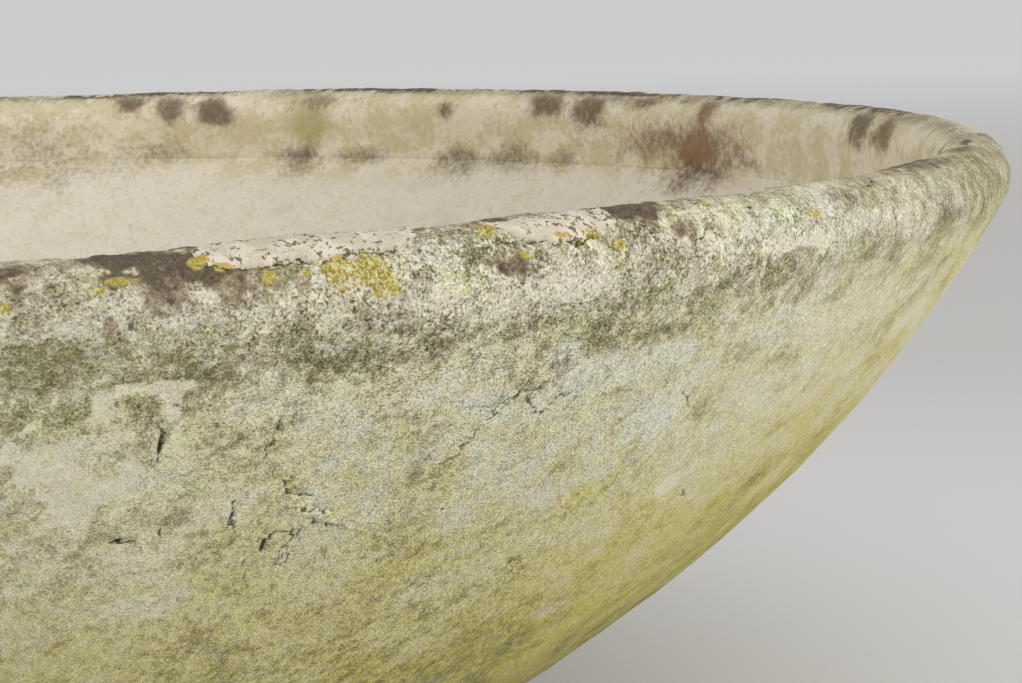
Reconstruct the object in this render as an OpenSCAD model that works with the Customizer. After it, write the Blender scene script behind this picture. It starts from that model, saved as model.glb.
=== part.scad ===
// Shallow round bowl planter in hand-laid fibre cement.
// The origin is the middle of the foot, on the ground. The photographed side of the bowl faces -Y.
// Sections are drawn with x as the distance from the bowl's axis and y as the height.

/* [Bowl] */
// Outside diameter across the lip
bowl_d = 1000; // [800:10:1200]
// Height from the ground to the top of the skim on the lip
bowl_h = 280; // [240:5:320]
// Diameter of the flat foot that the bowl stands on
foot_d = 300; // [220:5:360]
// Radius of the wall's outward curve, seen in section
wall_r = 532; // [480:1:900]
// Thickness of the pressed dish sheet
sheet_t = 14; // [10:0.5:18]

/* [Lip] */
// Thickness of the fully rounded lip
lip_t = 31; // [24:0.5:34]
// How far the rim strip reaches down the inside, from the top of the lip
strip_depth = 40; // [36:1:70]
// Thickness of the rim strip at its feathered lower edge
feather_t = 4; // [2:0.5:6]
// Direction of the first butt joint between two lengths of rim strip, in degrees from +X
joint_at = -63.5; // [-90:0.5:-30]
// Width of each butt joint
joint_w = 0.6; // [0.2:0.1:2]

/* [Crest skim] */
// Thickness of the cement skim that is left on top of the lip
skim_t = 1; // [0.6:0.1:2]
// Angle round the lip where the skim starts, up from level on the outside
skim_low = 35; // [25:1:60]
// Angle round the lip where the skim ends, on the inside
skim_high = 118; // [95:1:150]

/* [Floor] */
// Thickness of the disc that stiffens the floor round the drain hole
disc_t = 10; // [6:0.5:16]
// Gap from the disc's edge to where the wall starts to rise
disc_margin = 12; // [6:1:40]
// Radius that rounds the disc's top edge
disc_round = 5; // [2:0.5:6]
// Diameter of the drain hole
drain_d = 30; // [16:1:50]

/* [Fit] */
// Bond line between two curved faces that are laid on each other
bond_gap = 0.1; // [0.05:0.05:0.5]

/* [Hidden] */
$fn = 180;

strip_count = 3;
// Stretches of the lip that keep their skim: start and end, in degrees from +X
skim_angles = [
    [-80, -72.5], [-70, -64], [-24, -6], [38, 49], [66, 96],
    [128, 141], [171, 176], [196, 214], [242, 256]
];
lip_tuck = 0.5; // how far the strip's inner flat runs into the lip's round
bore_over = 1; // how far the drill runs past each face

lip_r = lip_t / 2;
lip_c = [bowl_d / 2 - lip_r, bowl_h - skim_t - bond_gap - lip_r];
foot_edge = [foot_d / 2, 0];

// The upper left one of the two points at distance a from p and b from q
function meet(p, a, q, b) =
    let (
        gap = q - p,
        along = (a * a - b * b + gap * gap) / (2 * norm(gap)),
        unit = gap / norm(gap)
    )
    p + along * unit + sqrt(a * a - along * along) * [-unit.y, unit.x];

// Where a line from p touches the circle of radius r about c, on its left
function touch_left(p, c, r) =
    let (
        gap = c - p,
        lean = atan2(gap.y, gap.x) + asin(r / norm(gap)),
        reach = sqrt(gap * gap - r * r)
    )
    p + reach * [cos(lean), sin(lean)];

// Distance from the axis to the circle of radius r about c, at height z
function reach_at(z, c, r) = c.x + sqrt(r * r - pow(c.y - z, 2));

// The wall's arc runs from the foot's edge up to the lip's circle, which it touches
wall_c = meet(foot_edge, wall_r, lip_c, wall_r - lip_r);
shoulder_z = lip_c.y + lip_r * (lip_c.y - wall_c.y) / norm(lip_c - wall_c);
inner_r = wall_r - sheet_t;
strip_back_r = inner_r - bond_gap;

feather_z = lip_c.y + lip_r - strip_depth;
feather = [reach_at(feather_z, wall_c, strip_back_r - feather_t), feather_z];

floor_flat_r = reach_at(sheet_t, wall_c, inner_r);
disc_r = floor_flat_r - disc_margin;

joint_deg = joint_w / (bowl_d / 2) * 180 / PI;
strip_deg = 360 / strip_count;

module band(z_low, z_high) {
    translate([0, z_low]) square([bowl_d, z_high - z_low]);
}

// All that lies inside the wall's arc of radius r, with the flat middle that the arc doesn't reach
module inside_wall(r) {
    translate(wall_c) circle(r);
    square([disc_r, bowl_h]);
}

module lip_circle(r) {
    translate(lip_c) circle(r);
}

// The sheet pressed into the mould: flat foot, curved wall, and a level top edge
module shell_section() {
    difference() {
        intersection() {
            inside_wall(wall_r);
            band(0, shoulder_z);
        }
        intersection() {
            inside_wall(inner_r);
            band(sheet_t, bowl_h);
        }
    }
}

// The strip sits on the sheet's top edge, makes the whole lip, and thins to a feather inside
module strip_section() {
    intersection() {
        lip_circle(lip_r);
        union() {
            band(shoulder_z, bowl_h);
            inside_wall(strip_back_r);
        }
    }
    intersection() {
        inside_wall(strip_back_r);
        polygon([feather, touch_left(feather, lip_c, lip_r - lip_tuck), lip_c, [bowl_d / 2, feather_z]]);
    }
}

module skim_section() {
    skim_r = lip_r + bond_gap + skim_t;
    intersection() {
        difference() {
            lip_circle(skim_r);
            lip_circle(lip_r + bond_gap);
        }
        translate(lip_c) polygon([
            [0, 0],
            2 * skim_r * [cos(skim_low), sin(skim_low)],
            2 * skim_r * [0, 1],
            2 * skim_r * [cos(skim_high), sin(skim_high)]
        ]);
    }
}

module disc_section() {
    square([disc_r, disc_t - disc_round]);
    square([disc_r - disc_round, disc_t]);
    translate([disc_r - disc_round, disc_t - disc_round]) circle(disc_round);
}

module drain_bore() {
    translate([0, 0, -bore_over]) cylinder(d = drain_d, h = sheet_t + disc_t + 2 * bore_over);
}

module bowl_shell() {
    color("#b6b58f") difference() {
        rotate_extrude() shell_section();
        drain_bore();
    }
}

module floor_disc() {
    color("#a9a597") difference() {
        translate([0, 0, sheet_t]) rotate_extrude() disc_section();
        drain_bore();
    }
}

module rim_strip(index) {
    color("#9f9b84")
        rotate([0, 0, joint_at + index * strip_deg + joint_deg / 2])
            rotate_extrude(angle = strip_deg - joint_deg) strip_section();
}

module crest_skim() {
    color("#d8ccb0")
        for (span = skim_angles)
            rotate([0, 0, span[0]]) rotate_extrude(angle = span[1] - span[0]) skim_section();
}

bowl_shell();
floor_disc();
rim_strip(0);  // rim_strip_1
rim_strip(1);  // rim_strip_2
rim_strip(2);  // rim_strip_3
crest_skim();
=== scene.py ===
import math

import bpy
import numpy as np
from mathutils import Matrix, Vector, noise


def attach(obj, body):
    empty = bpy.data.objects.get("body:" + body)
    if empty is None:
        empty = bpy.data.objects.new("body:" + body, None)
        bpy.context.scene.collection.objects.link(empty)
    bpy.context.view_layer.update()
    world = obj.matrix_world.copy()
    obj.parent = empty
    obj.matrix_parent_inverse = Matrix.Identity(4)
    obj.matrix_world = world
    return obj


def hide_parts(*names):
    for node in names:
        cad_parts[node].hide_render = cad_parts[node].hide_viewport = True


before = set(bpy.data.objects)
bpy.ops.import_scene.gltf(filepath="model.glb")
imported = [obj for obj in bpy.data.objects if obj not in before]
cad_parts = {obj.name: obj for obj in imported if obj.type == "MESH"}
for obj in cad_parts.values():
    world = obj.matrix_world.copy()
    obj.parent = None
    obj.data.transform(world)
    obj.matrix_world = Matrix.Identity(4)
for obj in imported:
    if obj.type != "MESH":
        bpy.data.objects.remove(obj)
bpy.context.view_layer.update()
mm = 0.001
print("frame loaded")

# Camera, at the photograph's viewing angle
photoView = {
    "place": (0.0, -1.0888, 0.3440),  # metres
    "lens": 85,
    "sensor": 36,
    "turn": 15.51,  # degrees to the right of +Y
    "tilt": 8.53,  # degrees below level
    "roll": -1.425,
}


def makeCamera(view):
    bpy.ops.object.camera_add()
    camera = bpy.context.object
    camera.name = "photoCamera"
    camera.data.lens = view["lens"]
    camera.data.sensor_width = view["sensor"]
    camera.data.clip_end = studio["floorReach"]
    camera.matrix_world = (
        Matrix.Translation(view["place"])
        @ Matrix.Rotation(-math.radians(view["turn"]), 4, "Z")
        @ Matrix.Rotation(math.radians(90 - view["tilt"]), 4, "X")
        @ Matrix.Rotation(math.radians(view["roll"]), 4, "Z")
    )
    bpy.context.scene.camera = camera


# Materials: a wire carries a number or a colour between nodes, and + - * add Math nodes
class Wire:
    def __init__(self, paint, socket):
        self.paint = paint
        self.socket = socket

    def maths(self, operation, *values):
        inputs = dict(enumerate((self,) + values))
        return self.paint.node("ShaderNodeMath", {"operation": operation}, inputs)

    def __add__(self, other):
        return self.maths("ADD", other)

    def __sub__(self, other):
        return self.maths("SUBTRACT", other)

    def __mul__(self, other):
        return self.maths("MULTIPLY", other)

    def __rsub__(self, other):
        return self.paint.node("ShaderNodeMath", {"operation": "SUBTRACT"}, {0: other, 1: self})

    __radd__ = __add__

    def soft(self, low, high):
        # 0 below low, 1 above high, and a soft step between them
        settings = {"interpolation_type": "SMOOTHSTEP"}
        inputs = {"Value": self, "From Min": low, "From Max": high}
        return self.paint.node("ShaderNodeMapRange", settings, inputs)

    def coat(self, cover, colour, mode="MIX"):
        # this colour with another one over it, as far as cover says
        return self.paint.blend(cover, self, colour, mode)


class Paint:
    def __init__(self, owner, tones):
        owner.use_nodes = True
        self.owner = owner
        self.nodes = owner.node_tree.nodes
        self.links = owner.node_tree.links
        self.nodes.clear()
        self.colours = {key: tone(*value) for key, value in tones.items()}
        self.fields = {}

    def node(self, kind, settings=None, inputs=None, output=0):
        made = self.nodes.new(kind)
        for name, value in (settings or {}).items():
            setattr(made, name, value)
        for name, value in (inputs or {}).items():
            if isinstance(value, Wire):
                self.links.new(value.socket, made.inputs[name])
            else:
                made.inputs[name].default_value = value
        return Wire(self, made.outputs[output] if made.outputs else None)

    def field(self, name, output="Fac"):
        # what the mesh holds under that name
        if name not in self.fields:
            self.fields[name] = self.node("ShaderNodeAttribute", {"attribute_name": name}, None, output)
        return self.fields[name]

    def grain(self, size, stretch=1, detail=2, seed=0):
        # noise of about -1 to 1 with lumps of that size in millimetres, drawn out round the bowl
        scale = (1 / (size * mm * stretch), 1 / (size * mm * stretch), 1 / (size * mm))
        place = self.field("unrolled", "Vector")
        inputs = {0: place, 1: scale, 2: (seed * 7.3, seed * 3.1, seed * 5.7)}
        moved = self.node("ShaderNodeVectorMath", {"operation": "MULTIPLY_ADD"}, inputs)
        inputs = {"Vector": moved, "Scale": 1, "Detail": detail, "Roughness": 0.55}
        return self.node("ShaderNodeTexNoise", {"normalize": False}, inputs) * 2.4

    def blend(self, factor, first, second, mode="MIX"):
        # a colour is a wire or the name of a tone; the Mix node's colour sockets are 6, 7 and 2
        first, second = (self.colours.get(colour, colour) for colour in (first, second))
        settings = {"data_type": "RGBA", "blend_type": mode}
        return self.node("ShaderNodeMix", settings, {0: factor, 6: first, 7: second}, output=2)

    def finish(self, colour, roughness, height, relief):
        bump = self.node("ShaderNodeBump", None, {"Strength": 1, "Distance": relief, "Height": height})
        inputs = {"Base Color": colour, "Roughness": roughness, "Normal": bump, "Specular IOR Level": 0.3}
        shader = self.node("ShaderNodeBsdfPrincipled", None, inputs)
        self.node("ShaderNodeOutputMaterial", None, {"Surface": shader})
        return self.owner


def tone(*parts):
    # a colour written as it looks, 0 to 255, in the linear values that a shader takes
    parts = [part / 255 for part in parts]
    linear = [part / 12.92 if part <= 0.04045 else ((part + 0.055) / 1.055) ** 2.4 for part in parts]
    return (*linear, 1)


# Floor, lamps and world
studio = {
    "floorReach": 900,  # metres, so that no edge of it shows
    # the floor's tones are painted light and shade: lighter near the bowl and far off, darker between, and
    # dark beside the key lamp
    "floorTones": {
        "near": (221, 220, 220),
        "middle": (203, 201, 197),
        "far": (237, 237, 236),
        "key": (76, 76, 76),  # painted shade beside the key lamp, which would turn the floor white
    },
    "nearFade": (0.5, 1.4),  # metres from the bowl's middle
    "farFade": (1.7, 8),
    "keyFoot": (2.8, -2.8, 0),
    "keyFade": (0, 3.3),
    "keyPlane": 5.63,  # x - y where the key lamp's plane meets the floor, dark behind it already
    "worldTones": {"light": (238, 238, 240), "backdrop": (206, 206, 205)},
    "worldStrength": 0.83,
    "key": {"place": (2.6, -2.5, 1.2), "size": 2.8, "power": 80, "aim": (0.1, 0, 0.1)},
    "fill": {"place": (-2.6, -2.2, 1.5), "size": 2.4, "power": 22, "aim": (0, 0, 0.1)},
}


def makeLamp(name, lamp):
    bpy.ops.object.light_add(type="AREA", location=lamp["place"])
    light = bpy.context.object
    light.name = name
    light.data.shape = "DISK"
    light.data.size = lamp["size"]
    light.data.energy = lamp["power"]
    towards = Vector(lamp["aim"]) - Vector(lamp["place"])
    light.rotation_euler = towards.to_track_quat("-Z", "Y").to_euler()


def makeStudio(room):
    bpy.ops.mesh.primitive_circle_add(vertices=96, radius=room["floorReach"], fill_type="NGON")
    floor = bpy.context.object
    floor.name = "studioFloor"
    paint = Paint(bpy.data.materials.new("studioFloor"), room["floorTones"])
    place = paint.node("ShaderNodeTexCoord", output="Object")

    def measure(operation, *ends):
        inputs = dict(enumerate((place,) + ends))
        return paint.node("ShaderNodeVectorMath", {"operation": operation}, inputs, "Value")

    reach = measure("LENGTH")
    # painted light and shade: the floor's tone changes with distance from the bowl
    floorTone = paint.blend(reach.soft(*room["nearFade"]), "near", "middle")
    floorTone = floorTone.coat(reach.soft(*room["farFade"]), "far")
    keyReach, across = measure("DISTANCE", room["keyFoot"]), measure("DOT_PRODUCT", (1, -1, 0))
    # painted shade on the floor where the key lamp lights it, up to the lamp's plane
    keyShade = (1 - keyReach.soft(*room["keyFade"])) * (room["keyPlane"] - across).soft(-0.05, 0)
    floorTone = floorTone.coat(keyShade, "key")
    shader = paint.node("ShaderNodeBsdfDiffuse", None, {"Color": floorTone})
    paint.node("ShaderNodeOutputMaterial", None, {"Surface": shader})
    floor.data.materials.append(paint.owner)
    makeLamp("keyLamp", room["key"])
    makeLamp("fillLamp", room["fill"])

    world = Paint(bpy.data.worlds.new("studioWorld"), room["worldTones"])
    bpy.context.scene.world = world.owner
    inputs = {"Color": world.colours["light"], "Strength": room["worldStrength"]}
    light = world.node("ShaderNodeBackground", None, inputs)
    backdrop = world.node("ShaderNodeBackground", None, {"Color": world.colours["backdrop"]})
    seen = world.node("ShaderNodeLightPath", output="Is Camera Ray")
    pick = world.node("ShaderNodeMixShader", None, {0: seen, 1: light, 2: backdrop})
    world.node("ShaderNodeOutputWorld", None, {"Surface": pick})


makeCamera(photoView)
makeStudio(studio)
bpy.context.scene.view_settings.view_transform = "Standard"
print("camera, floor and lamps made")

# The bowl's section, in millimetres, as the solids have it: x is the reach from the axis, y the height
bowl = {
    "across": 1000,
    "high": 280,
    "foot": 300,
    "wallArc": 532,
    "sheet": 14,
    "lip": 31,
    "stripDepth": 40,
    "feather": 0.2,  # the strip's lower edge, trowelled down to nothing
    "skim": 1,
    "skimLow": 35,
    "skimHigh": 118,
    "bond": 0.1,
    "drain": 30,
    "discThick": 10,
    "discMargin": 12,
    "jointAt": -63.5,
    "strips": 3,
}


def meet(first, firstReach, second, secondReach):
    # the upper left one of the two points at those distances from first and second
    gap = second - first
    along = (firstReach**2 - secondReach**2 + gap.length_squared) / (2 * gap.length)
    unit = gap.normalized()
    across = math.sqrt(firstReach**2 - along**2)
    return first + along * unit + across * Vector((-unit.y, unit.x))


def reachAt(height, radius):
    # how far out an arc about the wall's centre is at that height
    return wallCentre.x + math.sqrt(radius**2 - (wallCentre.y - height) ** 2)


def angleOf(centre, point):
    return math.atan2(point.y - centre.y, point.x - centre.x)


lipRadius = bowl["lip"] / 2
lipCentre = Vector((bowl["across"] / 2 - lipRadius, bowl["high"] - bowl["skim"] - bowl["bond"] - lipRadius))
footEdge = Vector((bowl["foot"] / 2, 0))
wallCentre = meet(footEdge, bowl["wallArc"], lipCentre, bowl["wallArc"] - lipRadius)
innerArc = bowl["wallArc"] - bowl["sheet"]
backArc = innerArc - bowl["bond"]

crestAngle = math.pi / 2
shoulderAngle = angleOf(wallCentre, lipCentre)
footAngle = angleOf(wallCentre, footEdge)
shoulder = lipCentre + lipRadius * Vector((math.cos(shoulderAngle), math.sin(shoulderAngle)))

featherHeight = lipCentre.y + lipRadius - bowl["stripDepth"]
feather = Vector((reachAt(featherHeight, backArc - bowl["feather"]), featherHeight))
featherBack = Vector((reachAt(featherHeight, backArc), featherHeight))
toLip = lipCentre - feather
flatLength = math.sqrt(toLip.length_squared - lipRadius**2)
flatLean = math.atan2(toLip.y, toLip.x) + math.asin(lipRadius / toLip.length)
flatTop = feather + flatLength * Vector((math.cos(flatLean), math.sin(flatLean)))
flatAngle = angleOf(lipCentre, flatTop) % math.tau

# The distance along the surface counts from the crest: plus down the outside, minus down the inside
shoulderAlong = lipRadius * (crestAngle - shoulderAngle)
footAlong = shoulderAlong + bowl["wallArc"] * (shoulderAngle - footAngle)
flatAlong = lipRadius * (crestAngle - flatAngle)
featherAlong = flatAlong - flatLength
toeAlong = featherAlong - bowl["feather"]
toeAngle = angleOf(wallCentre, Vector((reachAt(featherHeight, innerArc), featherHeight)))
floorAngle = math.asin((bowl["sheet"] - wallCentre.y) / innerArc)
floorEdge = reachAt(bowl["sheet"], innerArc)
floorAlong = toeAlong - innerArc * (toeAngle - floorAngle)


def arc(centre, radius, start, end, spacing, alongStart, alongEnd, facing=1):
    # points on an arc, each with its distance along the surface and the way that the surface faces
    count = max(2, round(abs(end - start) * radius / spacing))
    points = []
    for step in range(count + 1):
        share = step / count
        angle = start + (end - start) * share
        x, y = math.cos(angle), math.sin(angle)
        along = alongStart + (alongEnd - alongStart) * share
        points.append((centre.x + radius * x, centre.y + radius * y, along, facing * x, facing * y))
    return points


def line(start, end, spacing, alongStart, alongEnd, facing=(0, 0)):
    # the points between two corners, without the corners
    length = math.hypot(end[0] - start[0], end[1] - start[1])
    count = max(1, round(length / spacing))
    points = []
    for step in range(1, count):
        share = step / count
        along = alongStart + (alongEnd - alongStart) * share
        x = start[0] + (end[0] - start[0]) * share
        y = start[1] + (end[1] - start[1]) * share
        points.append((x, y, along, *facing))
    return points


# Meshes: a ring of section points is turned about the bowl's axis, then made finer where the eye goes
def activate(piece):
    bpy.ops.object.select_all(action="DESELECT")
    piece.select_set(True)
    bpy.context.view_layer.objects.active = piece


def spinSection(name, section, start, sweep, steps):
    bpy.ops.mesh.primitive_circle_add(vertices=len(section), radius=1)
    piece = bpy.context.object
    piece.name = piece.data.name = name
    turn = math.radians(start + sweep)
    for vertex, point in zip(piece.data.vertices, section):
        x, height = point[0] * mm, point[1] * mm
        vertex.co = (x * math.cos(turn), x * math.sin(turn), height)
    for column, field in ((2, "along"), (3, "faceOut"), (4, "faceUp")):
        attribute = piece.data.attributes.new(field, "FLOAT", "POINT")
        attribute.data.foreach_set("value", [point[column] for point in section])
    bpy.context.tool_settings.mesh_select_mode = (False, True, False)
    bpy.ops.object.mode_set(mode="EDIT")
    bpy.ops.mesh.select_all(action="SELECT")
    bpy.ops.mesh.spin(steps=steps, angle=math.radians(sweep), center=(0, 0, 0), axis=(0, 0, 1))
    bpy.ops.mesh.select_all(action="SELECT")
    bpy.ops.mesh.remove_doubles(threshold=0.01 * mm)
    if sweep < 360:
        bpy.ops.mesh.fill_holes(sides=0)
    bpy.ops.mesh.select_all(action="SELECT")
    bpy.ops.mesh.normals_make_consistent(inside=False)
    bpy.ops.object.mode_set(mode="OBJECT")
    return piece


def readField(mesh, name):
    values = np.empty(len(mesh.vertices))
    mesh.attributes[name].data.foreach_get("value", values)
    return values


def readPlaces(mesh):
    places = np.empty(len(mesh.vertices) * 3)
    mesh.vertices.foreach_get("co", places)
    return places.reshape(-1, 3)


def readCounts(items, name):
    counts = np.empty(len(items), np.int32)
    items.foreach_get(name, counts)
    return counts


def faceMeans(mesh, values):
    atCorners = values[readCounts(mesh.loops, "vertex_index")]
    sums = np.add.reduceat(atCorners, readCounts(mesh.polygons, "loop_start"))
    return sums / readCounts(mesh.polygons, "loop_total")


def selectFaces(mesh, wanted):
    mesh.vertices.foreach_set("select", np.zeros(len(mesh.vertices), bool))
    mesh.edges.foreach_set("select", np.zeros(len(mesh.edges), bool))
    mesh.polygons.foreach_set("select", wanted)


def inZone(azimuthSpan, alongSpan):
    def choose(azimuth, along):
        inAzimuth = (azimuth > azimuthSpan[0]) & (azimuth < azimuthSpan[1])
        return inAzimuth & (along > alongSpan[0]) & (along < alongSpan[1])

    return choose


def refine(piece, cuts, choose):
    # cuts up the faces that choose(azimuth, along) picks
    mesh = piece.data
    places = readPlaces(mesh)
    x, y = faceMeans(mesh, places[:, 0]), faceMeans(mesh, places[:, 1])
    along = faceMeans(mesh, readField(mesh, "along"))
    facing = faceMeans(mesh, readField(mesh, "faceOut") ** 2 + readField(mesh, "faceUp") ** 2)
    wanted = choose(np.degrees(np.arctan2(y, x)), along) & (facing > 0.5)
    activate(piece)
    selectFaces(mesh, wanted)
    bpy.context.tool_settings.mesh_select_mode = (False, False, True)
    bpy.ops.object.mode_set(mode="EDIT")
    bpy.ops.mesh.subdivide(number_cuts=cuts)
    bpy.ops.object.mode_set(mode="OBJECT")


# Weathering. A place on the bowl is its azimuth in degrees from +X and its distance along the surface
unrollReach = bowl["across"] / 2
degreeWide = math.radians(1) * unrollReach  # millimetres round the lip for one degree
evenAlong = 230  # millimetres down the outside to where the marks begin to narrow with the bowl


def unrolledReach(along):
    # constant near the lip, and in step with the bowl's own width further down inside and outside
    def wallReach(along):
        return wallCentre.x + bowl["wallArc"] * np.cos(footAngle + (footAlong - along) / bowl["wallArc"])

    inner = wallCentre.x + innerArc * np.cos(toeAngle + (along - toeAlong) / innerArc)
    inside = np.where(along > floorAlong, inner, floorEdge + along - floorAlong)
    outside = np.where(along < footAlong, wallReach(along), footEdge.x + footAlong - along)
    shares = np.where(along > evenAlong, outside / wallReach(evenAlong), 1)
    return unrollReach * np.where(along < toeAlong, inside / featherBack.x, shares)


def unroll(azimuth, along):
    turn = np.radians(azimuth)
    reach = unrolledReach(along)
    return np.stack((reach * np.cos(turn), reach * np.sin(turn), along), axis=1)


def drift(spots, size, stretch=1, octaves=3, seed=0):
    # smooth noise, mostly -1 to 1, with lumps of that size in millimetres
    scale = np.array((1 / (size * stretch), 1 / (size * stretch), 1 / size))
    shifted = spots * scale + np.array((seed * 37.3, seed * 11.9, seed * 5.1))
    values = [noise.fractal(spot, 0.8, 2.1, octaves) for spot in shifted.tolist()]
    return np.array(values) * 2.2


def softStep(values, low, high):
    share = np.clip((values - low) / (high - low), 0, 1)
    return share * share * (3 - 2 * share)


def turned(azimuth, centre):
    # millimetres round the lip from centre, the short way
    return ((azimuth - centre + 180) % 360 - 180) * degreeWide


def between(azimuth, start, full, fading=60, end=100):
    # 1 from full to fading, and 0 before start and after end
    return softStep(azimuth, start, full) * (1 - softStep(azimuth, fading, end))


def ovalReach(azimuth, along, centre, middle, width, height):
    # 0 in the middle of an oval and 1 at its edge
    return np.hypot(turned(azimuth, centre) / (width / 2), (along - middle) / (height / 2))


def stains(azimuth, along, edge, soft, marks):
    # the strongest of the marks at each place
    found = np.zeros(len(azimuth))
    for *oval, strength in marks:
        inner = 0.95 - ovalReach(azimuth, along, *oval) + 0.45 * edge
        found = np.maximum(found, strength * softStep(inner, -soft, soft))
    return found


crestWave = [  # azimuth, and how far the lip's top rises or sinks there, in millimetres
    (-180, 0.3), (-120, -0.6), (-100, -0.8), (-85, -1.4), (-82.5, -0.9), (-78, 0), (-70, 0.4), (-62, 0.2),
    (-55, -0.4), (-40, -0.4), (-25, -1), (-10, -1.5), (10, -0.7), (35, 0.5), (60, 0.2), (70, -1), (110, 0.2),
    (150, -0.7), (180, 0.3),
]

patina = {}  # marks by kind, each with azimuth, along, width and height in millimetres, and strength
# the wide marks at -45 and -36 degrees darken the lip's right end: partly real algae, partly painted shade
# where the key lamp lights it
patina["algae"] = [
    (-84.9, 38, 36, 16, 1), (-81.8, 36, 24, 14, 0.7), (-79.6, 33, 16, 14, 0.8), (-79.3, 44, 20, 10, 0.6),
    (-76.6, 34, 15, 14, 0.8), (-77, 42, 22, 10, 0.7), (-75.2, 37, 22, 20, 0.9), (-73.6, 33, 15, 15, 1),
    (-74.2, 42, 20, 12, 0.7), (-71.3, 40, 36, 16, 0.6), (-67.8, 38, 22, 10, 0.6), (-66.2, 40, 36, 24, 0.25),
    (-63.6, 40, 80, 28, 0.7), (-60, 38, 22, 18, 0.3), (-57.3, 38, 32, 13, 0.6), (-55, 38, 22, 12, 0.5),
    (-53, 35, 16, 10, 0.5), (-48.5, 32, 11, 17, 0.8), (-75.8, 89, 16, 5, 0.8), (-81.2, 63, 12, 20, 1),
    (-82.2, 52, 14, 12, 0.6), (-77.4, 64, 14, 24, 0.5), (-71.1, 82, 15, 26, 0.5), (-69.5, 76, 12, 20, 0.5),
    (-81.3, 96, 8, 26, 0.6), (-86, 85, 18, 70, 0.7), (-85.2, 52, 50, 16, 0.7), (-61, 12, 70, 18, 0.7),
    (-81.8, 70, 12, 30, 0.6), (-83.6, 101, 50, 14, 0.6), (-82.4, 68, 8, 8, 0.7), (-85, 47, 30, 10, 0.5),
    (-76, 91, 14, 10, 0.6), (-72.4, 98, 18, 8, 0.5), (-67.5, 62, 40, 12, 0.4), (-80, 166, 90, 22, 0.4),
    (-74.2, 175, 60, 24, 0.7), (-63, 196, 90, 46, 0.6), (-57.5, 192, 60, 60, 0.6), (-66, 152, 60, 30, 0.3),
    (-63.8, 122, 24, 10, 0.4), (-46, 136, 60, 24, 0.7), (-47, 170, 90, 60, 0.5), (-36, 14, 180, 26, 1.6),
    (-45, 24, 60, 10, 0.6), (-65, 15, 70, 11, 0.8), (-71.5, 18, 54, 16, 1), (-41, 110, 60, 60, 0.35),
    (-53.5, 132, 16, 8, 0.4), (-59.4, 122, 30, 10, 0.3), (-54, 10, 60, 12, 0.25), (-62.2, 15, 17, 11, 1.6),
    (-72, 7, 30, 9, 0.9), (-85, 62, 90, 46, 0.3), (-84.5, 102, 110, 60, 0.22),
]
patina["clear"] = [
    (-77, 54, 90, 10, 0.5), (-72, 58, 50, 18, 0.5), (-74, 84, 40, 24, 0.5), (-66.5, 78, 44, 20, 0.4),
    (-60, 62, 50, 24, 0.6), (-52, 60, 90, 30, 0.6), (-44, 55, 80, 40, 0.4), (-70.5, 106, 60, 32, 0.7),
    (-58, 50, 60, 22, 0.7),
]
patina["lime"] = [
    (-83.6, 22, 46, 16, 0.8), (-81.6, 26, 30, 8, 0.8), (-78, 26, 52, 7, 0.8), (-75, 26, 26, 6, 0.7),
    (-72.2, 26, 12, 13, 0.9), (-71.7, 13, 26, 9, 0.5), (-67.3, 28, 28, 8, 1), (-69.6, 26, 22, 8, 0.8),
    (-68.5, 33, 22, 9, 0.7), (-64.8, 27, 28, 8, 0.8), (-60.5, 25, 36, 9, 0.8), (-57, 24, 30, 7, 0.9),
    (-55, 24, 32, 4.5, 1), (-51, 25, 32, 6, 0.7), (-57.8, 155, 12, 12, 0.6), (-61, 24, 20, 6, 0.4),
    # the mark at -74 degrees, 100 along, is a painted highlight on the fold's ridge
    (-80.2, 66, 3, 20, 0.6), (-74, 100, 12, 4, 0.7), (-50.5, 145.5, 13, 3, 0.5), (-59.5, 33, 20, 8, 0.5),
]
patina["bare"] = [
    (-84.3, 68, 18, 20, 1), (-83.2, 81, 24, 20, 1), (-83.2, 91, 12, 7, 0.8), (-81.9, 78, 5, 18, 0.7),
    (-82.8, 54, 8, 3.5, 0.9), (-81.4, 46.5, 20, 4, 1), (-80.7, 52.5, 4, 10, 0.9), (-80.4, 67, 3, 16, 0.8),
    (-82.9, 49, 5, 8, 0.8), (-55.8, 122.5, 14, 9, 1), (-82.3, 61, 9, 6, 0.6), (-55.5, 24.5, 44, 6, 0.7),
    (-67.4, 28, 26, 7, 0.6), (-72.2, 26, 9, 12, 0.6), (-74.6, 24, 10, 4, 0.6), (-57.8, 152, 10, 12, 0.5),
]
patina["cool"] = [
    (-67.8, 93, 26, 18, 0.6), (-70.6, 52, 22, 14, 0.5), (-60.3, 78, 28, 54, 0.8), (-61, 103, 28, 14, 0.6),
    (-50.5, 77, 14, 8, 0.6), (-77, 147, 18, 12, 0.5), (-84.5, 145, 8, 10, 0.5), (-82.4, 145, 6, 6, 0.6),
    (-66, 98, 20, 22, 0.4), (-67, 28, 40, 12, 0.7), (-55.5, 25, 40, 7, 0.7), (-57.3, 60, 30, 26, 0.5),
    (-72, 14, 30, 12, 0.6), (-62.5, 17, 20, 14, 0.6), (-78, 130, 30, 10, 0.4), (-69, 66, 60, 30, 0.5),
    (-64, 62, 80, 34, 0.7), (-65, 88, 60, 30, 0.6), (-56, 50, 60, 30, 0.5), (-55, 20, 80, 18, 1),
    (-73, 108, 50, 16, 0.4), (-44, 24, 60, 20, 0.6), (-72, 16, 60, 14, 0.5), (-69.3, 94, 110, 76, 0.42),
]
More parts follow.
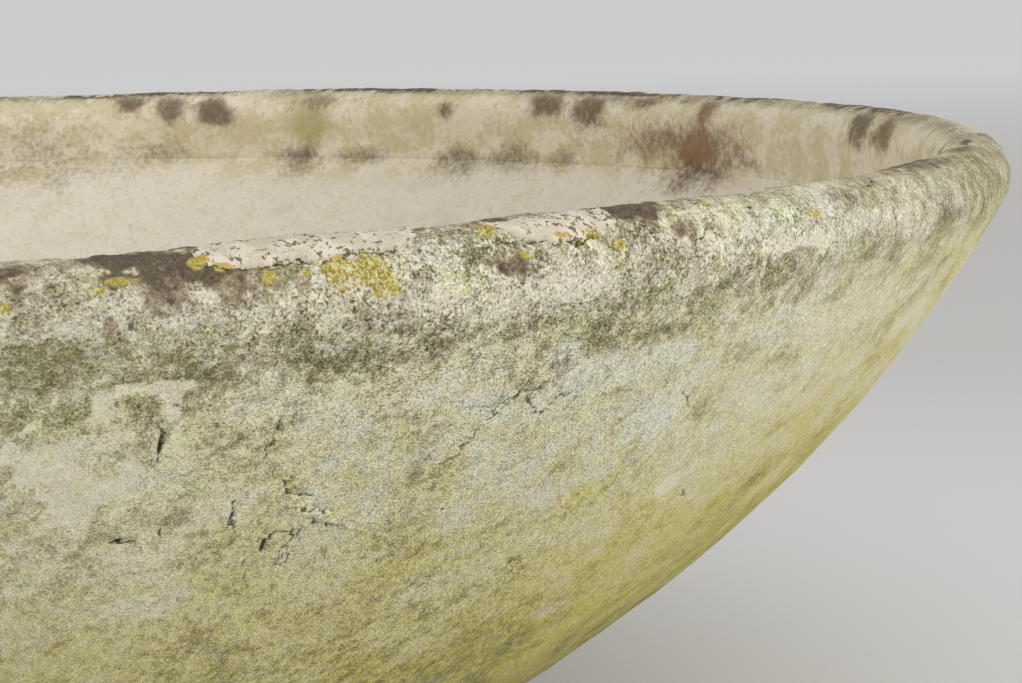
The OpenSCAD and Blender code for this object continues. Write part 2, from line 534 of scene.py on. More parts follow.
# the marks from -46.5 to -12 degrees darken the lip's right end: partly its own brown tone, partly painted
# shade where the key lamp lights it
patina["warm"] = [
    (-71.2, 82, 14, 24, 0.7), (-42, 6, 90, 16, 1), (-78.6, 18, 48, 13, 1), (-70, 19, 15, 9, 0.8),
    (-71, 43, 24, 8, 0.6), (-44, 17, 34, 10, 0.7), (-38, 14, 40, 12, 0.6), (-79.8, 92, 8, 14, 0.5),
    (-75.5, 42, 22, 6, 0.5), (-57, 93, 34, 18, 0.4), (-84.5, 16, 30, 8, 0.4), (-79, 40, 20, 10, 0.4),
    (-46.5, 8, 60, 8, 0.5), (-72.5, 62, 40, 10, 0.3), (-81, 110, 50, 16, 0.3), (-28, 6, 140, 26, 0.9),
    (-12, 6, 120, 22, 0.7),
]
patina["yellow"] = [
    (-61.4, 113, 22, 13, 0.45), (-58, 128, 32, 16, 0.5), (-73.4, 79, 18, 22, 0.5), (-86, 95, 14, 42, 0.7),
    (-60, 8, 16, 6, 0.5), (-55.5, 5, 24, 5, 0.5), (-69, 130, 60, 20, 0.3), (-47, 100, 60, 40, 0.4),
    (-77.5, 27, 40, 6, 0.4), (-84, 15, 12, 4, 0.4), (-52, 8, 34, 6, 0.4), (-41, 40, 60, 20, 0.3),
]
patina["crust"] = [
    (-85.6, 8, 16, 9, 0.8), (-83.8, 6.5, 16, 5, 0.35), (-81.1, 6.5, 36, 20, 1), (-86, 9, 20, 10, 0.8),
    (-82, 8, 16, 9, 1), (-80.8, 12, 11, 6, 0.8), (-81.2, 17.5, 15, 13, 0.5), (-79, 16, 24, 10, 0.55),
    (-77.6, 19, 22, 10, 0.35), (-79.4, 13.5, 8, 3.5, 0.9), (-82.8, 26, 5, 8, 0.5), (-72, 7, 18, 9, 0.4),
    (-72.6, 2, 14, 4, 0.6), (-69.9, 19, 17, 8, 0.7), (-64, 3, 27, 8, 1), (-69.4, 2, 14, 4, 0.8),
    (-62.2, 15, 13, 9, 0.55), (-42, 3, 80, 9, 0.6), (-34, 2, 50, 9, 0.6), (-24, 8, 40, 14, 0.4),
    (-30.5, -1.3, 25, 5, 0.9), (-64.1, 4, 34, 14, 1), (26, -4, 90, 7, 0.8), (-43, -1, 60, 8, 0.7),
    (-87.5, 7, 20, 9, 0.8), (-58.5, 1, 20, 4, 0.4), (-66, 1, 14, 3, 0.5),
]
patina["lichen"] = [
    (-74.9, 17.5, 21, 13, 1), (-74.2, 19, 6, 8, 1), (-75.4, 15, 6, 4, 1), (-80, 9.5, 4.5, 4, 1),
    (-79.2, 12, 4, 2.5, 1), (-78, 17, 5, 4, 0.7), (-70, 8, 6.5, 5, 1), (-69.1, 17, 4, 3, 0.8),
    (-67.8, 16, 5, 3, 0.7), (-66.3, 13.5, 10, 3, 0.9), (-67.3, 12.5, 6, 3, 0.8), (-65.3, 18, 4, 2.5, 0.9),
    (-65.8, 5, 3, 3, 0.7), (-83.1, 16, 3.5, 2.5, 0.8), (-82.3, 14, 8, 2, 0.7), (-54.8, 16, 9, 3, 0.6),
    (-66.9, 15.5, 4, 4, 0.7), (-60.4, 7, 7, 3, 0.6), (-56, 6, 6, 2.5, 0.6), (-85.8, 19.9, 3, 3, 0.8),
]
patina["rust"] = [(16.9, -11, 20, 26, 1), (20.4, -33, 110, 27, 0.75), (17.2, -39, 70, 30, 1)]
patina["damp"] = [  # dark blotches inside, along the lip and the old soil line
    (67.6, -13.5, 24, 18, 1), (64.3, -17, 26, 20, 0.9), (61, -19, 24, 18, 1), (52.4, -13.9, 46, 11, 0.6),
    (41.5, -20, 14, 12, 0.9), (32, -15.5, 24, 18, 1), (28.6, -16, 26, 24, 0.9), (23.6, -9, 50, 14, 1),
    (19.5, -8, 30, 12, 0.8), (-3, -14, 27, 20, 1), (-6.5, -14.8, 28, 20, 0.95), (54.2, -51, 42, 21, 0.95),
    (49.7, -48.4, 46, 12, 0.6), (40.2, -52, 44, 17, 0.65), (35.8, -49.5, 54, 19, 0.65),
    (31.4, -47.3, 28, 12, 0.5), (18.1, -57.2, 44, 10, 0.7), (12.1, -43.7, 38, 10, 0.5),
    (16.6, -49.8, 67, 13, 0.6), (65.3, -46.5, 39, 22, 0.45), (74.5, -46, 110, 44, 0.4),
]
patina["moss"] = [(52.8, -29.2, 32, 23, 0.8), (63.6, -39, 98, 29, 0.3), (43.5, -29, 113, 22, 0.12)]

cracks = [  # each a line of azimuth and along: real cracks, and painted shadow lines under the skim's lower edge and beside the fold's ridge
    [(-70.3, 87), (-69.8, 83), (-69.4, 78), (-69.3, 74)],
    [(-69, 71.5), (-68.7, 70.4), (-68.8, 66.8), (-68.4, 64.6), (-67.9, 62.9), (-67.1, 62.2)],
    [(-67.6, 65), (-67.3, 69), (-66.9, 71.8), (-66.5, 72.6)],
    [(-66.4, 71), (-66.1, 67.3), (-65.5, 65.5)], [(-77.1, 59.5), (-77.2, 67), (-77.35, 74)],
    [(-78, 89), (-77.95, 95), (-77.8, 101)], [(-81, 58), (-80.9, 63.5), (-80.95, 70)],
    [(-75.5, 104), (-75.2, 108), (-75.6, 112.5), (-75.2, 116), (-75.3, 120), (-75.6, 119.5), (-75.65, 115)],
    [(-76.25, 107), (-76, 105.3), (-75.5, 104)],
    [(-76.4, 84), (-76.2, 88.5), (-75.6, 90), (-75.1, 91)],
    [(-82.1, 99.5), (-81.7, 100.5), (-81.2, 101.5)],
    # painted shadow under the skim's lower edge, in this line and the next two
    [(-80.1, 10.5), (-79, 13.1), (-78, 13.4), (-77, 12.5), (-76.2, 13)],
    [(-76.2, 13), (-75.4, 11.9), (-74.5, 12), (-73.6, 11.2)],
    [(-69.8, 12.2), (-68.5, 13.6), (-67.5, 14.5), (-66.3, 14.8)],
    # painted shadow along both sides of the fold's ridge, in this line and the next
    [(-75.8, 95), (-74.9, 97), (-74.2, 99.3)],
    [(-75.2, 100.5), (-74.5, 103), (-73.9, 105), (-73.3, 107)],
    [(-59.1, 76), (-58.6, 80), (-58.2, 83.5)],
    [(-64, 10.5), (-63.75, 13.5), (-63.5, 17.5)],
    [(-63.5, 139.5), (-63.45, 144), (-63.25, 148)],
    [(-62.2, 21.5), (-61.6, 19.1), (-61.1, 15.7)],
    [(-58.6, 11.5), (-58.1, 10.3)], [(-49.9, 9), (-48.9, 6)],
    [(-49.2, 19), (-49.1, 30)], [(-54.3, 128), (-53.6, 132)],
]
folds = [[(-76.1, 93.5), (-75.1, 98), (-74.2, 102.5), (-73.2, 106.5)]]  # ridges, as lines too
pits = [  # azimuth, along, width, height, depth
    (-77.1, 63, 1.3, 9, 0.6), (-80.95, 65, 1.6, 10, 0.9), (-76.45, 110, 2.2, 7, 1), (-77, 117, 1.2, 5, 0.7),
    (-63.7, 142.5, 3, 6, 0.7), (-79.4, 115, 1.2, 4, 0.6), (-81.8, 100, 3, 2, 0.8),
    (-81.4, 101.5, 3, 1.5, 0.6), (-80.4, 98.5, 1.4, 4, 0.8), (-58.6, 79, 1.5, 6, 0.5),
    (-79.9, 130.5, 1.2, 3, 0.6), (-79.1, 130.5, 1.2, 3, 0.6), (-69.2, 107.5, 2, 1.2, 0.9),
    # the pit at -79.2 degrees, 12.8 along, is painted shadow under the skim's edge
    (-82.2, 26.5, 2, 3, 0.8), (-78, 98, 1.2, 6, 0.8), (-79.2, 12.8, 5, 2.4, 0.9), (-75.2, 107, 1.4, 5, 0.7),
    (-75.5, 116, 1.4, 4, 0.6), (-80.6, 53, 2.5, 1.5, 0.8),
]


def lineDistance(azimuth, along, lines):
    # millimetres to the nearest of the lines
    nearest = np.full(len(azimuth), 99.0)
    for points in lines:
        for (startAzimuth, startAlong), (endAzimuth, endAlong) in zip(points, points[1:]):
            x, y = turned(azimuth, startAzimuth), along - startAlong
            stepX, stepY = (endAzimuth - startAzimuth) * degreeWide, endAlong - startAlong
            share = np.clip((x * stepX + y * stepY) / (stepX**2 + stepY**2), 0, 1)
            nearest = np.minimum(nearest, np.hypot(x - share * stepX, y - share * stepY))
    return nearest


def pitDepth(azimuth, along):
    deepest = np.zeros(len(azimuth))
    for *oval, depth in pits:
        inner = 1.2 - ovalReach(azimuth, along, *oval)
        deepest = np.maximum(deepest, depth * softStep(inner, 0, 0.8))
    return deepest


def crestRise(azimuth, along):
    return np.interp(azimuth, *zip(*crestWave)) * (1 - softStep(np.abs(along), 25, 70))


def weather(azimuth, along):
    # every field of the patina, and the surface's rise in millimetres, at each place
    spots = unroll(azimuth, along)
    edge = drift(spots, 7, octaves=4, seed=1)
    wander = drift(spots, 60, stretch=1.6, seed=2)
    wide = drift(spots, 220, stretch=1.3, octaves=2, seed=3)
    streak = drift(spots * np.array((1, 1, 0.12)), 16, seed=4)
    lumps = drift(spots, 26, octaves=2, seed=5)
    level = along + 6 * wander + 2 * streak  # the bands round the bowl wander up and down
    away = softStep(np.abs(turned(azimuth, -60)), 330, 430)  # the side that the photograph doesn't show
    under = softStep(along, footAlong - 8, footAlong + 6)

    farEnd = between(azimuth, -54, -36)
    blurred = between(azimuth, -66, -46)  # past the photograph's sharp part
    ragged, blotched = edge * (1 - 0.6 * blurred), 0.6 * lumps + 0.25 * edge
    edges = dict.fromkeys(("rust", "damp", "moss"), (blotched, 0.75))  # how the marks' edges fade
    edges.update(bare=(edge, 0.15), crust=(0.7 * ragged, 0.4))
    other = (ragged, 0.35 + 0.4 * blurred)
    spread = {key: stains(azimuth, along, *edges.get(key, other), marks) for key, marks in patina.items()}
    algae = np.interp(
        level,
        (0, 10, 24, 31, 37, 46, 60, 74, 88, 110, 150, 200, 260, 470),
        (-0.55, -0.48, -0.4, 0, 0.14, -0.06, -0.32, -0.44, -0.52, -0.54, -0.5, -0.24, 0.08, 0.3),
    )
    algae += 0.42 * spread["algae"] - 0.28 * spread["clear"] + 0.08 * wide + 0.06 * lumps + 0.06 * edge
    # painted shade, carried by the algae field: more olive on the upper wall's left side, on the lip from
    # -78 to -50 degrees, and low on the far end, where there is real algae too
    shaded = 1 - between(azimuth, -86, -74, 60, 120)
    upper = 1 - softStep(level, 90, 130)
    algae += 0.2 * shaded * upper + 0.5 * farEnd * softStep(level, 95, 150)
    algae += 0.35 * between(azimuth, -78, -50) * (1 - softStep(level, 24, 40))
    algae += 0.08 * farEnd * streak - 0.1 * softStep(azimuth, -76, -70) - 0.07 * farEnd * upper - 1.2 * under
    lime = np.interp(
        level,
        (0, 8, 20, 28, 36, 46, 90, 140, 300, 470),
        (-0.5, -0.1, 0.2, 0.3, -0.3, -0.7, -0.7, -0.9, -1.2, -1.2),
    )
    lime += 0.8 * spread["lime"] + 0.2 * lumps - 0.1 * wide + 0.7 * under
    wash = np.interp(level, (0, 50, 100, 150, 220, 320, 470), (0, 0.06, 0.16, 0.5, 0.95, 0.7, 0.5))
    wash += 0.45 * spread["yellow"] + 0.08 * wander + 0.06 * lumps + 0.2 * farEnd
    lowRight = between(azimuth, -72, -56) * softStep(level, 90, 150)
    wash = np.clip(wash + 0.2 * lowRight - under, 0, 1)
    crest = np.interp(along, (-12, -5, 3, 12, 24, 34), (0, 0.8, 1, 0.8, 0.2, 0))
    crust = np.maximum(spread["crust"], away * softStep(wander + 0.6 * edge + crest, 1.1, 1.7) * crest)
    clusters = drift(spots, 11, octaves=2, seed=6)
    rimZone = np.interp(along, (-6, 2, 10, 24, 34), (0, 0.4, 1, 1, 0))
    lichen = np.maximum(spread["lichen"], away * softStep(clusters * rimZone, 1.15, 1.6))
    cool = np.maximum(spread["cool"], away * softStep(lumps + wander, 0.7, 1.8) * 0.6)
    warm = np.maximum(spread["warm"], away * softStep(wander - lumps, 0.7, 1.8) * 0.7)
    warm = np.maximum(warm, np.interp(level, (-10, 0, 14, 26, 36), (0.6, 0.7, 0.6, 0.3, 0)) + 0.15 * lumps)
    warm -= 0.12 * softStep(level, 60, 110)  # the wall's own tone is even, lower down
    cool -= 0.08 * softStep(level, 80, 120)
    coarse = np.interp(level, (-6, 4, 24, 40, 80, 150), (0.9, 1, 1, 0.5, 0.25, 0.1)) * (1 - 0.4 * farEnd)
    bite = np.interp(level, (-6, 30, 120, 200, 300), (0.9, 1, 1, 0.85, 0.7))  # how strong the grain is
    softLeft, crisp = between(azimuth, -100, -90, -86, -74), between(azimuth, -77, -72, -66, -60)
    bite *= 0.96 + 0.14 * crisp - 0.46 * blurred - 0.26 * softLeft

    wobble = drift(spots, 2.4, octaves=3, seed=10)
    crook = drift(spots, 4, octaves=3, seed=11)
    crack = lineDistance(azimuth + 0.09 * wobble, along + 0.9 * crook, cracks)
    crack += 0.35 * softStep(crook - wobble, 0.3, 1.8)
    fold = 1 - softStep(lineDistance(azimuth, along + 0.8 * crook, folds), 0.3, 3)
    pit = pitDepth(azimuth, along + 0.4 * edge)

    inside = 1 - softStep(along, -13, -6)
    unseen = inside * softStep(np.abs(turned(azimuth, 30)), 400, 480)
    oldLine = softStep(wander + 0.5 * edge - np.abs(along + 52) / 25, 0.3, 1.2) * 0.7
    rimBlot = softStep(lumps + 0.5 * edge - np.abs(along + 16) / 14, 0.2, 1.2) * 0.8
    damp = np.maximum(spread["damp"], unseen * np.maximum(oldLine, rimBlot))
    dirt = softStep(-along + 26 * wander, 320, 460) * (0.6 + 0.1 * lumps + 0.1 * wander) * inside
    soil = softStep(-along + 5 * wander, 54, 66)  # below the old soil line

    rise = crestRise(azimuth, along)
    rise += 0.55 * drift(spots, 110, stretch=1.4, octaves=2, seed=7)
    rise += 0.16 * drift(spots, 24, stretch=1.5, seed=8)
    rimRelief = np.interp(along, (-40, -12, 0, 28, 60, 120), (0.1, 0.5, 1, 1, 0.5, 0.3))
    rise += rimRelief * (0.2 * lumps + 0.12 * edge + 0.08 * wobble)
    rise += 0.7 * fold + 0.15 * crust + 0.3 * lichen
    rise -= 0.25 * spread["bare"] + 0.5 * pit + 0.3 * (1 - softStep(crack, 0.2, 1))
    rise *= softStep(footAlong - along, 0, 14)  # the foot stays flat on the ground
    fields = {key: spread[key] for key in ("bare", "rust", "moss")}
    fields.update(algae=algae, lime=lime, wash=wash, crust=crust, lichen=lichen, cool=cool, warm=warm)
    fields.update(coarse=coarse, bite=bite, crack=np.minimum(crack, 5), pit=pit, inside=inside, soil=soil)
    fields.update(damp=np.maximum(damp, dirt), rise=rise)
    return fields


def writeField(mesh, name, values):
    attribute = mesh.attributes.get(name) or mesh.attributes.new(name, "FLOAT", "POINT")
    attribute.data.foreach_set("value", np.asarray(values, np.float32))


def writeUnrolled(mesh, azimuth, along):
    attribute = mesh.attributes.new("unrolled", "FLOAT_VECTOR", "POINT")
    places = unroll(azimuth, along) * mm
    attribute.data.foreach_set("vector", places.astype(np.float32).ravel())


def weatherPiece(piece):
    # moves the surface by its rise and keeps the fields on the mesh for its material
    mesh = piece.data
    places = readPlaces(mesh)
    azimuth = np.degrees(np.arctan2(places[:, 1], places[:, 0]))
    along = readField(mesh, "along")
    faceOut, faceUp = readField(mesh, "faceOut"), readField(mesh, "faceUp")
    fields = weather(azimuth, along)
    turn = np.radians(azimuth)
    rise = fields.pop("rise") * mm
    places[:, 0] += rise * faceOut * np.cos(turn)
    places[:, 1] += rise * faceOut * np.sin(turn)
    places[:, 2] += rise * faceUp
    mesh.vertices.foreach_set("co", places.ravel())
    for name, values in fields.items():
        writeField(mesh, name, values)
    writeUnrolled(mesh, azimuth, along)
    mesh.update()


def finishPiece(piece, node, material, sharp=40):
    activate(piece)
    piece.data.materials.append(material)
    bpy.ops.object.shade_smooth_by_angle(angle=math.radians(sharp))
    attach(piece, "root")
    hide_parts(node)
    print(node, len(piece.data.polygons), "faces")


# One cement for the sheet and the rim strips, so that the weathering crosses the seam
cementTones = {
    "pale": (222, 216, 184),
    "yellow": (203, 194, 88),
    "lime": (216, 210, 192),
    "limeGrey": (182, 174, 148),
    "flake": (232, 227, 212),
    "olive": (104, 98, 52),
    "oliveLight": (134, 127, 76),
    "cool": (225, 227, 213),
    "warm": (158, 143, 114),
    "crust": (84, 66, 48),
    "crustPale": (146, 129, 103),
    "lichen": (174, 154, 38),
    "lichenPale": (194, 182, 92),
    "bare": (226, 220, 198),
    "crackDark": (40, 37, 18),
    "grainDark": (134, 128, 98),
    "grainLight": (244, 240, 218),
    "greener": (172, 175, 108),  # the hues that the cement drifts between
    "greyer": (196, 185, 170),
    "cream": (226, 216, 192),
    "creamYellow": (210, 198, 162),
    "inner": (226, 219, 202),
    "rust": (132, 100, 70),
    "damp": (96, 78, 56),
    "moss": (164, 156, 98),
}


def cementPaint(name, tones):
    paint = Paint(bpy.data.materials.new(name), tones)
    field = paint.field
    coarse, bite = field("coarse"), field("bite")
    fine = paint.grain(0.42, detail=1, seed=1)
    strokes = paint.grain(0.42, stretch=2.4, detail=1, seed=2)
    speckle = paint.grain(0.9, seed=3)
    clumps = paint.grain(3.2, detail=3, seed=4)
    mottle = paint.grain(7, detail=3, seed=7) * coarse
    patches = paint.grain(15, stretch=1.5, detail=3, seed=5)
    clouds = paint.grain(40, stretch=1.5, detail=2, seed=6)
    tooth = fine * (0.55 - coarse * 0.15) + strokes * 0.5 * (1 - coarse)
    tooth = tooth + speckle * (coarse * 0.25 + 0.25) + clumps * 0.2
    tooth = tooth * bite * (1 - field("bare") * 0.5)

    warmCover = (field("warm") * 1.4 + patches * 0.35 - clouds * 0.2 + clumps * 0.15).soft(0.1, 1.3)
    coolCover = (field("cool") * 1.4 - patches * 0.3 + clumps * 0.2 + clouds * 0.2).soft(0.2, 1.3)
    limeCover = (field("lime") + clumps * 0.4 + mottle * 0.4 + speckle * 0.2 * coarse).soft(-0.4, 0.9)
    limeTone = paint.blend((clumps - patches * 0.5).soft(-0.9, 0.7), "limeGrey", "lime")
    oliveCover = field("algae") + (clumps * 0.22 + patches * 0.18 - mottle * 0.35) * bite + tooth * 0.25
    oliveCover = (oliveCover - field("bare") * 1.5).soft(-0.7, 0.9)
    oliveTone = paint.blend((clumps - patches).soft(-1, 1), "olive", "oliveLight")
    bareCover = (field("bare") * 2 - 0.9 + clumps * 0.2 + fine * 0.15).soft(-0.25, 0.35)
    flakes = (paint.grain(2.6, detail=2, seed=10) + mottle * 0.5).soft(0.35, 0.8) * coarse
    crustCover = (field("crust") * (2.2 + clumps * 0.4 + speckle * 0.2)).soft(0.1, 1.6)
    crustTone = paint.blend((field("crust") + clumps * 0.15).soft(0.4, 0.9), "crustPale", "crust")
    coarse = coarse * (1 - crustCover * 0.6)
    tooth = tooth * (1 - crustCover * 0.7)
    veins = (1 - (clumps + speckle * 0.2).maths("ABSOLUTE").soft(0.02, 0.2)) * coarse
    specks = (speckle + fine * 0.4 - mottle * 0.3).soft(0.75, 1.5) * coarse
    lichenCover = (field("lichen") * (2.4 + speckle * 0.4 + clumps * 0.7) - 0.2).soft(0.1, 1.7)
    lichenTone = paint.blend((clumps * 0.5 + speckle + fine * 0.5).soft(-1, 1), "lichenPale", "lichen")
    hue = paint.grain(4, detail=3, seed=8) * 0.7 * bite
    hue = hue + paint.grain(13, stretch=1.4, seed=9) * 0.8 + tooth * 0.7
    hueCover = coarse * 0.25 + 0.3
    crackCover = 1 - (field("crack") + fine * 0.1).soft(0.15, 0.65)
    pitCover = (field("pit") + fine * 0.1).soft(0.1, 0.9)

    tide = clouds * 0.6 + patches * 0.6 + clumps * 0.25
    innerGrain = (fine * 0.4 + speckle * 0.4 + clumps * 0.3).soft(-0.6, 1.8)
    inner = (
        paint.blend((patches + clumps * 0.3).soft(-1, 1), "cream", "creamYellow")
        .coat(field("moss") * 0.8, "moss")
        .coat(field("soil") * 0.85, "inner")
        .coat(tide.soft(-0.1, 2) * field("soil") * 0.32, "creamYellow")
        .coat((0 - tide).soft(-0.1, 2) * field("soil") * 0.2, "crustPale")
        .coat((field("rust") + clumps * 0.08).soft(0, 1) * 0.9, "rust")
        .coat((field("damp") + clumps * 0.08).soft(0, 1) * 0.85, "damp")
        .coat(innerGrain * 0.16, "grainDark", "MULTIPLY")
    )
    colour = (
        paint.blend(field("wash") + patches * 0.15, "pale", "yellow")
        .coat(warmCover * 0.75, "warm")
        .coat(coolCover * 0.8, "cool")
        .coat(limeCover * 0.85, limeTone)
        .coat(oliveCover * 0.9, oliveTone)
        .coat(bareCover * 0.85, "bare")
        .coat(flakes * 0.45, "flake")
        .coat(crustCover.soft(0, 0.8) * 0.97, crustTone)
        .coat(veins * 0.45, "grainDark", "MULTIPLY")
        .coat(specks * 0.6, "crustPale", "MULTIPLY")
        .coat(lichenCover * 0.92, lichenTone)
        .coat(hue.soft(0, 2.4) * hueCover, "greener", "COLOR")
        .coat((0 - hue).soft(0, 2.2) * hueCover, "greyer", "COLOR")
        .coat(tooth.soft(-1.1, 1.8) * 0.8, "grainDark", "MULTIPLY")
        .coat((0 - tooth).soft(-0.4, 1.9) * 0.4, "grainLight")
        .coat(field("inside"), inner)
        # near-black paint along the cracks and in the pits: painted shade in their hollows, and painted
        # shadow under the skim's edge and beside the fold
        .coat(crackCover * 0.9, "crackDark")
        .coat(pitCover * 0.95, "crackDark")
    )
    height = clumps * 0.3 - tooth * 0.5 + lichenCover * 0.5 - oliveCover * 0.2
    return paint.finish(colour, 0.92 - crustCover * 0.08, height, 0.2 * mm)


weatheredCement = cementPaint("weatheredCement", cementTones)
rimCement = cementPaint("rimCement", cementTones)
print("cement mixed")

# The sheet: foot, wall and floor in one pressed dish
sheetMesh = {
    "spacing": 10,
    "hiddenSpacing": 5,
    "steps": 300,
    "wallZone": (-93, -29),
    "wallFrom": 30,
    "wallCuts": 3,
    "nearZone": (-87, -50),
    "nearAlong": (30, 135),
    "nearCuts": 1,
    "crackReach": 1.8,
    "crackCuts": 2,
}


def makeSheet(plan):
    gap = plan["spacing"]
    drainReach = bowl["drain"] / 2
    innerTop = reachAt(shoulder.y, innerArc)
    topAngle = math.asin((shoulder.y - wallCentre.y) / innerArc)
    topAlong = toeAlong + innerArc * (topAngle - toeAngle)
    drainAlong = floorAlong - (floorEdge - drainReach)
    underAlong = footAlong + footEdge.x - drainReach
    section = [(drainReach, 0, underAlong, 0, 0)]
    section += line((drainReach, 0), footEdge, gap, underAlong, footAlong)
    section += arc(wallCentre, bowl["wallArc"], footAngle, shoulderAngle, gap, footAlong, shoulderAlong)
    section += line(shoulder, (innerTop, shoulder.y), plan["hiddenSpacing"], shoulderAlong, topAlong)
    section += arc(wallCentre, innerArc, topAngle, floorAngle, gap, topAlong, floorAlong, -1)
    floorLine = (floorEdge, bowl["sheet"]), (drainReach, bowl["sheet"])
    section += line(*floorLine, gap, floorAlong, drainAlong, (0, 1))
    section += [(drainReach, bowl["sheet"], drainAlong, 0, 0)]
    piece = spinSection("bowlShell", section, -180, 360, plan["steps"])

    refine(piece, plan["wallCuts"], inZone(plan["wallZone"], (plan["wallFrom"], footAlong)))
    refine(piece, plan["nearCuts"], inZone(plan["nearZone"], plan["nearAlong"]))

    def nearCrack(azimuth, along):
        close = lineDistance(azimuth, along, cracks) < plan["crackReach"]
        return (close | (pitDepth(azimuth, along) > 0)) & (along > shoulderAlong)

    refine(piece, plan["crackCuts"], nearCrack)
    weatherPiece(piece)
    finishPiece(piece, "bowl_shell", weatheredCement)


makeSheet(sheetMesh)

# The rim: three lengths of strip that make the lip
stripMesh = {
    "spacing": 2.2,
    "hiddenSpacing": 5,
    "stepsEach": 420,
    "nearZone": (-89, -35),
    "nearFrom": -16,
    "nearCuts": 2,
    "crackReach": 1,
    "crackCuts": 1,
    "jointClosed": 0.05,
    "backAlong": 20,
}


def makeStrip(index, plan):
    gap, wide = plan["spacing"], plan["hiddenSpacing"]
    faceFlat = (-math.sin(flatLean), math.cos(flatLean))
    backTop = Vector((reachAt(shoulder.y, backArc), shoulder.y))
    backStart, backEnd = angleOf(wallCentre, featherBack), angleOf(wallCentre, backTop)
    backTopAlong = toeAlong - plan["backAlong"]
    section = arc(lipCentre, lipRadius, shoulderAngle, flatAngle, gap, shoulderAlong, flatAlong)
    section += line(flatTop, feather, gap, flatAlong, featherAlong, faceFlat)
    section += [(feather.x, feather.y, featherAlong, *faceFlat)]
    toeFacing = (-math.cos(toeAngle), -math.sin(toeAngle))  # so that the toe stays down on the sheet
    section += [(featherBack.x, featherBack.y, toeAlong, *toeFacing)]
    section += arc(wallCentre, backArc, backStart, backEnd, wide, toeAlong, backTopAlong, 0)[1:]
    section += line(backTop, shoulder, wide, backTopAlong, shoulderAlong)
    sweep = 360 / bowl["strips"]
    gapDegrees = math.degrees(plan["jointClosed"] / unrollReach)
    start = bowl["jointAt"] + index * sweep + gapDegrees / 2
    piece = spinSection(f"rimStrip{index + 1}", section, start, sweep - gapDegrees, plan["stepsEach"])
    refine(piece, plan["nearCuts"], inZone(plan["nearZone"], (plan["nearFrom"], shoulderAlong)))
    refine(piece, plan["crackCuts"], lambda a, s: lineDistance(a, s, cracks) < plan["crackReach"])
    weatherPiece(piece)
    finishPiece(piece, f"rim_strip_{index + 1}", rimCement)


for index in range(bowl["strips"]):
    makeStrip(index, stripMesh)

# The disc on the floor, round the drain hole
discMesh = {
    "spacing": 6,
    "roundSpacing": 1.5,
    "hiddenSpacing": 30,
    "steps": 200,
    "round": 5,
    "chip": 0.8,
    "inward": (4, 12, 130, 131, 132, 142),  # along the surface from the disc's edge to each corner
}
discTones = dict(cementTones, inner=(176, 168, 150), damp=(92, 78, 60))


def makeDisc(plan):
    reach = floorEdge - bowl["discMargin"]
    drainReach = bowl["drain"] / 2
    low, high = bowl["sheet"], bowl["sheet"] + bowl["discThick"]
    turn = Vector((reach - plan["round"], high - plan["round"]))
    outer, chip = floorAlong - bowl["discMargin"], plan["chip"]
    roundStart, roundEnd, topEnd, chipStart, chipEnd, holeEnd = (outer - away for away in plan["inward"])
    section = [(reach, low, outer, 1, 0)]
    section += arc(turn, plan["round"], 0, math.pi / 2, plan["roundSpacing"], roundStart, roundEnd)
    topLine = (turn.x, high), (drainReach + 2 * chip, high)
    section += line(*topLine, plan["spacing"], roundEnd, topEnd, (0, 1))
    section += [(drainReach + chip, high, chipStart, 0, 1), (drainReach, high - chip, chipEnd, 0, 0)]
    section += [(drainReach, low, holeEnd, 0, 0)]
    section += line((drainReach, low), (reach, low), plan["hiddenSpacing"], holeEnd, outer)
    piece = spinSection("floorDisc", section, -180, 360, plan["steps"])
    weatherPiece(piece)
    finishPiece(piece, "floor_disc", cementPaint("floorCement", discTones))


makeDisc(discMesh)

# The cement skim that is left on the lip, thin and ragged
skimMesh = {
    "spans": [
        (-80, -72.5), (-70, -64.8), (-24, -6), (38, 49), (66, 96), (128, 141), (171, 176), (196, 214),
        (242, 256),
    ],
    "nearCell": 0.5,
    "cell": 1.4,
    "tuck": 0.25,
    "thick": 0.4,
    "solid": 0.5,
    "edge": -0.5,  # where a patch is cut off, in the cover's millimetres
}
skimTones = {
    "cream": (198, 188, 164),
    "creamLight": (218, 209, 188),
    "fleck": (112, 98, 80),
    "grey": (176, 168, 146),
    "lichen": (184, 152, 60),
}
skimEdge = {  # how far the two patches in view reach down the outside of the lip
    "azimuth": (-80, -79, -78, -77, -76, -75, -74, -73.3, -72.5, -70, -69.4, -69, -68, -67, -66, -65, -64),
    "low": (10.5, 12.3, 13.4, 12.6, 13, 12, 11.8, 10.5, 5, 6, 9, 12, 13.4, 14.4, 14.4, 11, 7),
    "high": (4, -1, -2.5, -4, -5, -6, -6, -6, -5, 3, 3, 2, 1, 1, 0, 1, 4),
}


def skimCover(azimuth, along, start, end, near):
    # above 0 where the skim is left, in about millimetres from its edge
    spots = unroll(azimuth, along)
    ragged = drift(spots, 5, octaves=4, seed=21)
    ends = np.minimum(turned(azimuth, start), -turned(azimuth, end))
    if near:
        low = np.interp(azimuth, skimEdge["azimuth"], skimEdge["low"])
        high = np.interp(azimuth, skimEdge["azimuth"], skimEdge["high"])
    else:
        slow = drift(spots, 14, seed=22)
        low, high = 8 + 3 * slow, -4 + 2 * slow
    cover = np.minimum(np.minimum(low - along, along - high), ends)
    cover = np.minimum(cover, 2.5) + 0.9 * ragged - 0.3
    holes = drift(spots, 4.5, octaves=3, seed=23)
    return cover - 3 * softStep(holes, 1.25, 1.6)


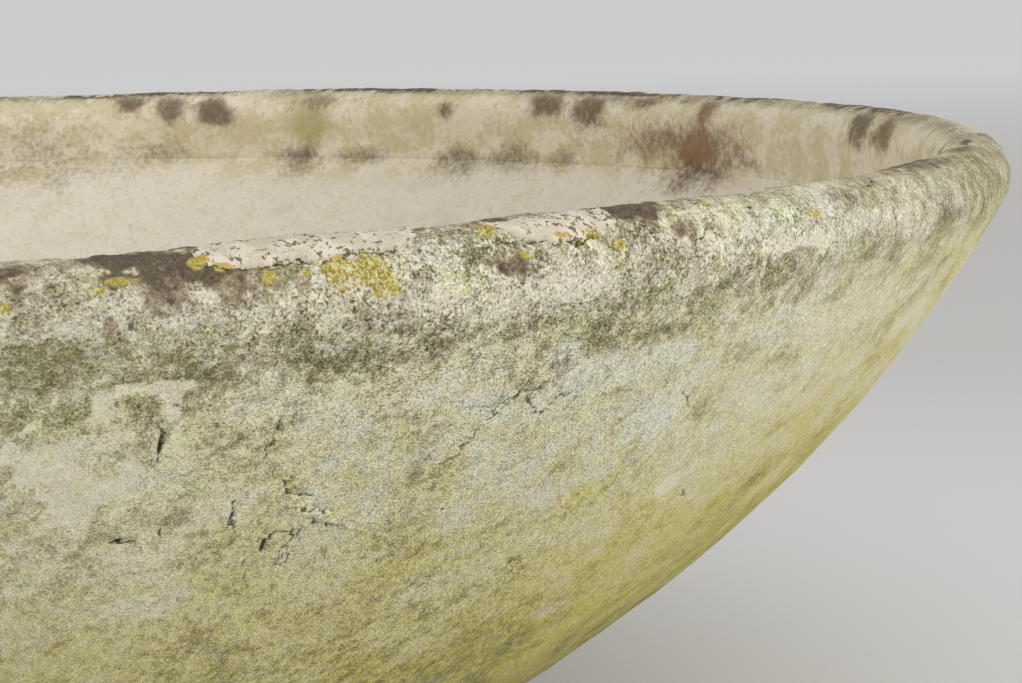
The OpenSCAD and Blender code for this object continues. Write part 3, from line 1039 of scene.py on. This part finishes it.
def makeSkim(plan):
    low = -lipRadius * math.radians(bowl["skimHigh"] - 90)
    high = lipRadius * math.radians(90 - bowl["skimLow"])
    patches = []
    for start, end in plan["spans"]:
        near = -90 < start < -60  # in the photograph's sharp part
        cell = plan["nearCell"] if near else plan["cell"]
        columns, rows = round((end - start) * degreeWide / cell), round((high - low) / cell)
        bpy.ops.mesh.primitive_grid_add(x_subdivisions=columns, y_subdivisions=rows, size=1)
        patch = bpy.context.object
        mesh = patch.data
        places = readPlaces(mesh)
        azimuth = start + (places[:, 0] + 0.5) * (end - start)
        along = high - (places[:, 1] + 0.5) * (high - low)
        cover = skimCover(azimuth, along, start, end, near)
        rise = crestRise(azimuth, along) + 0.15 * drift(unroll(azimuth, along), 20, octaves=2, seed=24)
        rise += (plan["thick"] + plan["tuck"]) * softStep(cover, -0.3, 0.8) - plan["tuck"]
        reach, angle, turn = lipRadius + rise, crestAngle - along / lipRadius, np.radians(azimuth)
        out = lipCentre.x + reach * np.cos(angle)
        up = lipCentre.y + reach * np.sin(angle)
        moved = np.stack((out * np.cos(turn), out * np.sin(turn), up), axis=1) * mm
        mesh.vertices.foreach_set("co", moved.ravel())
        writeField(mesh, "lichen", weather(azimuth, along)["lichen"])
        writeField(mesh, "cover", cover)
        writeUnrolled(mesh, azimuth, along)
        selectFaces(mesh, faceMeans(mesh, cover) < plan["edge"])
        bpy.ops.object.mode_set(mode="EDIT")
        bpy.ops.mesh.delete(type="FACE")
        bpy.ops.object.mode_set(mode="OBJECT")
        patches.append(patch)
    activate(patches[0])
    for patch in patches:
        patch.select_set(True)
    bpy.ops.object.join()
    piece = bpy.context.object
    piece.name = piece.data.name = "crestSkim"
    solid = piece.modifiers.new("thickness", "SOLIDIFY")
    solid.thickness = plan["solid"] * mm
    solid.offset = -1
    bpy.ops.object.modifier_apply(modifier="thickness")
    finishPiece(piece, "crest_skim", skimPaint(skimTones), sharp=60)


def skimPaint(tones):
    paint = Paint(bpy.data.materials.new("creamSkim"), tones)
    fine = paint.grain(0.6, seed=31)
    speckle = paint.grain(2, seed=32)
    clumps = paint.grain(7, detail=3, seed=33)
    worn = (0.9 - paint.field("cover") + fine * 0.3 + speckle * 0.3).soft(0, 1)
    fleck = (speckle + fine * 0.5 + clumps * 0.6).soft(0.85, 1.15)
    lichenCover = paint.field("lichen") * (2 + speckle * 0.6 + fine * 0.5 + clumps * 0.9)
    colour = (
        paint.blend((fine * 0.5 + clumps).soft(-0.9, 0.9), "cream", "creamLight")
        .coat(worn * 0.5, "grey")
        .coat(fleck * 0.95, "fleck")
        .coat((lichenCover - 0.3).soft(0.2, 1.7) * 0.85, "lichen")
    )
    height = fine * 0.4 + speckle * 0.3 - fleck * 0.8
    return paint.finish(colour, 0.85, height, 0.12 * mm)


makeSkim(skimMesh)
